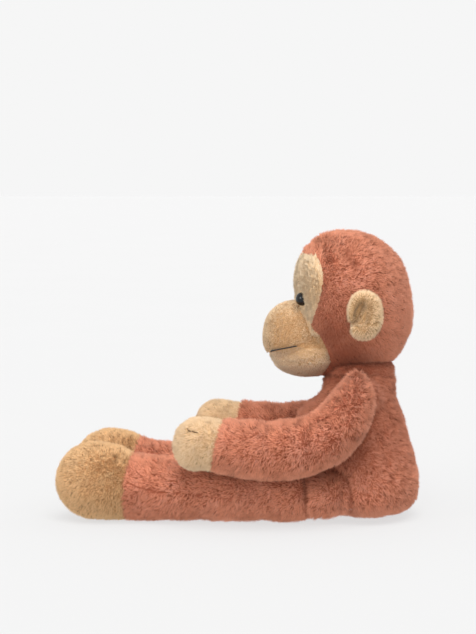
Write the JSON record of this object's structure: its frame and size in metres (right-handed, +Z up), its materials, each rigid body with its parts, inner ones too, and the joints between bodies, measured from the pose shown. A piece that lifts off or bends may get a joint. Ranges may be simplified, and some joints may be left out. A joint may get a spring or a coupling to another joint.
{
  "type": "plush monkey",
  "caption": "Sitting long-limbed plush monkey with a round head, broad muzzle, cupped ears, and soft arms and legs that turn at the shoulders, elbows, hips and knees.",
  "frame": {"origin": "on the surface the toy sits on, under the middle of its box", "axes": "+Z up, the toy faces -Y, its left side is +X"},
  "size_m": [0.2052, 0.2996, 0.2415],
  "materials": {
    "rust_plush": "dense short rust-brown plush pile, matt, finely speckled",
    "beige_plush": "short beige plush pile on face, ears, hands and feet",
    "muzzle_plush": "very short warm beige velour pile",
    "eye_plastic": "polished black safety eye",
    "washer_plastic": "plain moulded locking washer",
    "mouth_thread": "twisted dark embroidery thread",
    "nose_thread": "pale embroidery thread",
    "fibre_filling": "loose polyester fibre",
    "pellet_bag": "thin woven bag of pellets"
  },
  "bodies": {
    "torso": {"torso_cover_left": "rust_plush", "torso_cover_right": "rust_plush", "torso_stuffing": "fibre_filling", "seat_pellet_pouch": "pellet_bag"},
    "neck": {"neck_stuffing": "rust_plush"},
    "head": {"head_cover_left": "rust_plush", "head_cover_right": "rust_plush", "head_crown_strip": "rust_plush", "head_stuffing": "fibre_filling", "face_cover": "beige_plush", "muzzle_cover_upper": "muzzle_plush", "muzzle_cover_jaw": "muzzle_plush", "muzzle_stuffing": "fibre_filling", "mouth_stitch": "mouth_thread", "nostril_stitch_left": "nose_thread", "nostril_stitch_right": "nose_thread", "eye_left": "eye_plastic", "eye_right": "eye_plastic", "eye_washer_left": "washer_plastic", "eye_washer_right": "washer_plastic"},
    "ear_left": {"ear_back_left": "beige_plush", "ear_front_left": "beige_plush"},
    "ear_right": {"ear_back_right": "beige_plush", "ear_front_right": "beige_plush"},
    "upper_arm_left": {"upper_arm_cover_left": "rust_plush", "upper_arm_stuffing_left": "fibre_filling"},
    "forearm_left": {"forearm_cover_left": "rust_plush", "forearm_stuffing_left": "fibre_filling", "hand_cover_left": "beige_plush", "hand_stuffing_left": "fibre_filling"},
    "upper_arm_right": {"upper_arm_cover_right": "rust_plush", "upper_arm_stuffing_right": "fibre_filling"},
    "forearm_right": {"forearm_cover_right": "rust_plush", "forearm_stuffing_right": "fibre_filling", "hand_cover_right": "beige_plush", "hand_stuffing_right": "fibre_filling"},
    "thigh_left": {"thigh_cover_left": "rust_plush", "thigh_stuffing_left": "fibre_filling"},
    "shin_left": {"shin_cover_left": "rust_plush", "shin_stuffing_left": "fibre_filling", "foot_cover_left": "beige_plush", "foot_pellet_pouch_left": "pellet_bag"},
    "thigh_right": {"thigh_cover_right": "rust_plush", "thigh_stuffing_right": "fibre_filling"},
    "shin_right": {"shin_cover_right": "rust_plush", "shin_stuffing_right": "fibre_filling", "foot_cover_right": "beige_plush", "foot_pellet_pouch_right": "pellet_bag"}
  },
  "joints": [
    {"name": "neck_turn", "type": "hinge", "parent": "torso", "child": "neck", "pos_m": [0, 0.1018, 0.126], "axis": [0, 0, -1], "range_deg": [-25, 25]},
    {"name": "neck_nod", "type": "hinge", "parent": "neck", "child": "head", "pos_m": [0, 0.1018, 0.126], "axis": [1, 0, 0], "range_deg": [-8, 8]},
    {"name": "ear_left_fold", "type": "hinge", "parent": "head", "child": "ear_left", "pos_m": [0.057, 0.0918, 0.1745], "axis": [0, 0, -1], "range_deg": [0, 30], "stiffness_Nm_per_rad": 0.01},
    {"name": "ear_right_fold", "type": "hinge", "parent": "head", "child": "ear_right", "pos_m": [-0.057, 0.0918, 0.1745], "axis": [0, 0, 1], "range_deg": [0, 30], "stiffness_Nm_per_rad": 0.01},
    {"name": "shoulder_left", "type": "hinge", "parent": "torso", "child": "upper_arm_left", "pos_m": [0.05, 0.1008, 0.112], "axis": [-1, 0, 0], "range_deg": [0, 70]},
    {"name": "elbow_left", "type": "hinge", "parent": "upper_arm_left", "child": "forearm_left", "pos_m": [0.074, 0.0778, 0.077], "axis": [1, 0, 0], "range_deg": [-32, 0]},
    {"name": "shoulder_right", "type": "hinge", "parent": "torso", "child": "upper_arm_right", "pos_m": [-0.05, 0.1008, 0.112], "axis": [1, 0, 0], "range_deg": [-70, 0]},
    {"name": "elbow_right", "type": "hinge", "parent": "upper_arm_right", "child": "forearm_right", "pos_m": [-0.074, 0.0778, 0.077], "axis": [-1, 0, 0], "range_deg": [0, 32]},
    {"name": "hip_left", "type": "hinge", "parent": "torso", "child": "thigh_left", "pos_m": [0.0395, 0.0663, 0.0264], "axis": [1, 0, 0], "range_deg": [0, 80]},
    {"name": "knee_left", "type": "hinge", "parent": "thigh_left", "child": "shin_left", "pos_m": [0.04, -0.0142, 0.0264], "axis": [1, 0, 0], "range_deg": [0, 50]},
    {"name": "hip_right", "type": "hinge", "parent": "torso", "child": "thigh_right", "pos_m": [-0.0395, 0.0663, 0.0264], "axis": [1, 0, 0], "range_deg": [0, 80]},
    {"name": "knee_right", "type": "hinge", "parent": "thigh_right", "child": "shin_right", "pos_m": [-0.04, -0.0142, 0.0264], "axis": [1, 0, 0], "range_deg": [0, 50]}
  ]
}
